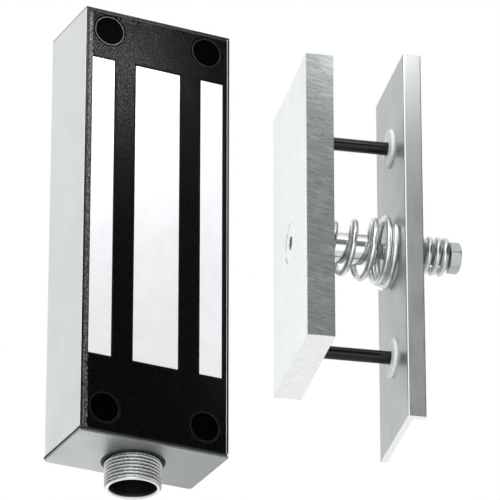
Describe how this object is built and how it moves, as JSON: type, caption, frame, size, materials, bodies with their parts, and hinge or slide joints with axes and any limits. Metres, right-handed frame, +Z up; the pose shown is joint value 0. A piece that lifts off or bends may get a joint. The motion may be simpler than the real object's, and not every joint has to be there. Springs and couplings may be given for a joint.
{
  "type": "magnetic door lock",
  "caption": "Electromagnetic gate lock: potted magnet in a steel case with a conduit nipple, and a spring-mounted armature plate on an angle bracket.",
  "frame": {"origin": "centre of the magnet case's flat back, where it meets the post", "axes": "+Z up along the case, +Y into the post it is screwed to, -Y out of the pole face, +X to the right as seen from the pole face"},
  "size_m": [0.1759, 0.0872, 0.223],
  "materials": {
    "brushed_case": "vertical brush lines, satin",
    "cap_metal": "fine satin",
    "black_rubber": "matte",
    "epoxy": "cast resin, finely pitted",
    "ground_steel": "surface ground",
    "copper": "enamelled wire",
    "bobbin_nylon": "moulded",
    "sleeve_steel": "turned",
    "black_plug": "moulded, smooth",
    "zinc_thread": "zinc plated, cut thread",
    "green_board": "solder mask",
    "varistor_blue": "dipped",
    "block_green": "moulded",
    "satin_bracket": "satin nickel",
    "white_nylon": "moulded",
    "bright_wire": "bright nickel",
    "milled_plate": "edges milled across, front ground bright",
    "bright_screw": "bright zinc",
    "polished_post": "polished",
    "zinc_bolt": "dull zinc",
    "black_pin": "black oxide, smooth"
  },
  "bodies": {
    "magnet": {"case_shell": "brushed_case", "top_cap": "cap_metal", "bottom_cap": "cap_metal", "top_gasket": "black_rubber", "bottom_gasket": "black_rubber", "face_potting": "epoxy", "laminated_core": "ground_steel", "coil_winding": "copper", "coil_bobbin": "bobbin_nylon", "mounting_sleeve_top_left": "sleeve_steel", "mounting_sleeve_top_right": "sleeve_steel", "mounting_sleeve_bottom_left": "sleeve_steel", "mounting_sleeve_bottom_right": "sleeve_steel", "hole_plug_top_left": "black_plug", "hole_plug_top_right": "black_plug", "hole_plug_bottom_left": "black_plug", "hole_plug_bottom_right": "black_plug", "conduit_nipple": "zinc_thread", "conduit_seal": "black_rubber", "splice_board": "green_board", "surge_varistor": "varistor_blue", "terminal_block": "block_green", "coil_lead_left": "copper", "coil_lead_right": "copper"},
    "bracket": {"armature_bracket": "satin_bracket", "guide_bushing_upper": "white_nylon", "guide_bushing_lower": "white_nylon", "conical_spring": "bright_wire", "back_spring": "bright_wire"},
    "armature": {"armature_plate": "milled_plate", "armature_screw": "bright_screw", "standoff_post": "polished_post", "hex_bolt": "zinc_bolt", "guide_pin_upper": "black_pin", "guide_pin_lower": "black_pin"}
  },
  "joints": [
    {"name": "gate_swing", "type": "hinge", "parent": "magnet", "child": "bracket", "pos_m": [0.0363, -0.0063, 0], "axis": [0, 0, 1], "range_deg": [-76, 14]},
    {"name": "armature_float", "type": "slide", "parent": "bracket", "child": "armature", "axis": [-0.9703, 0.2419, 0], "range_m": [-0.0075, 0.002], "stiffness_N_per_m": 2000, "deforming": ["conical_spring", "back_spring"]}
  ]
}
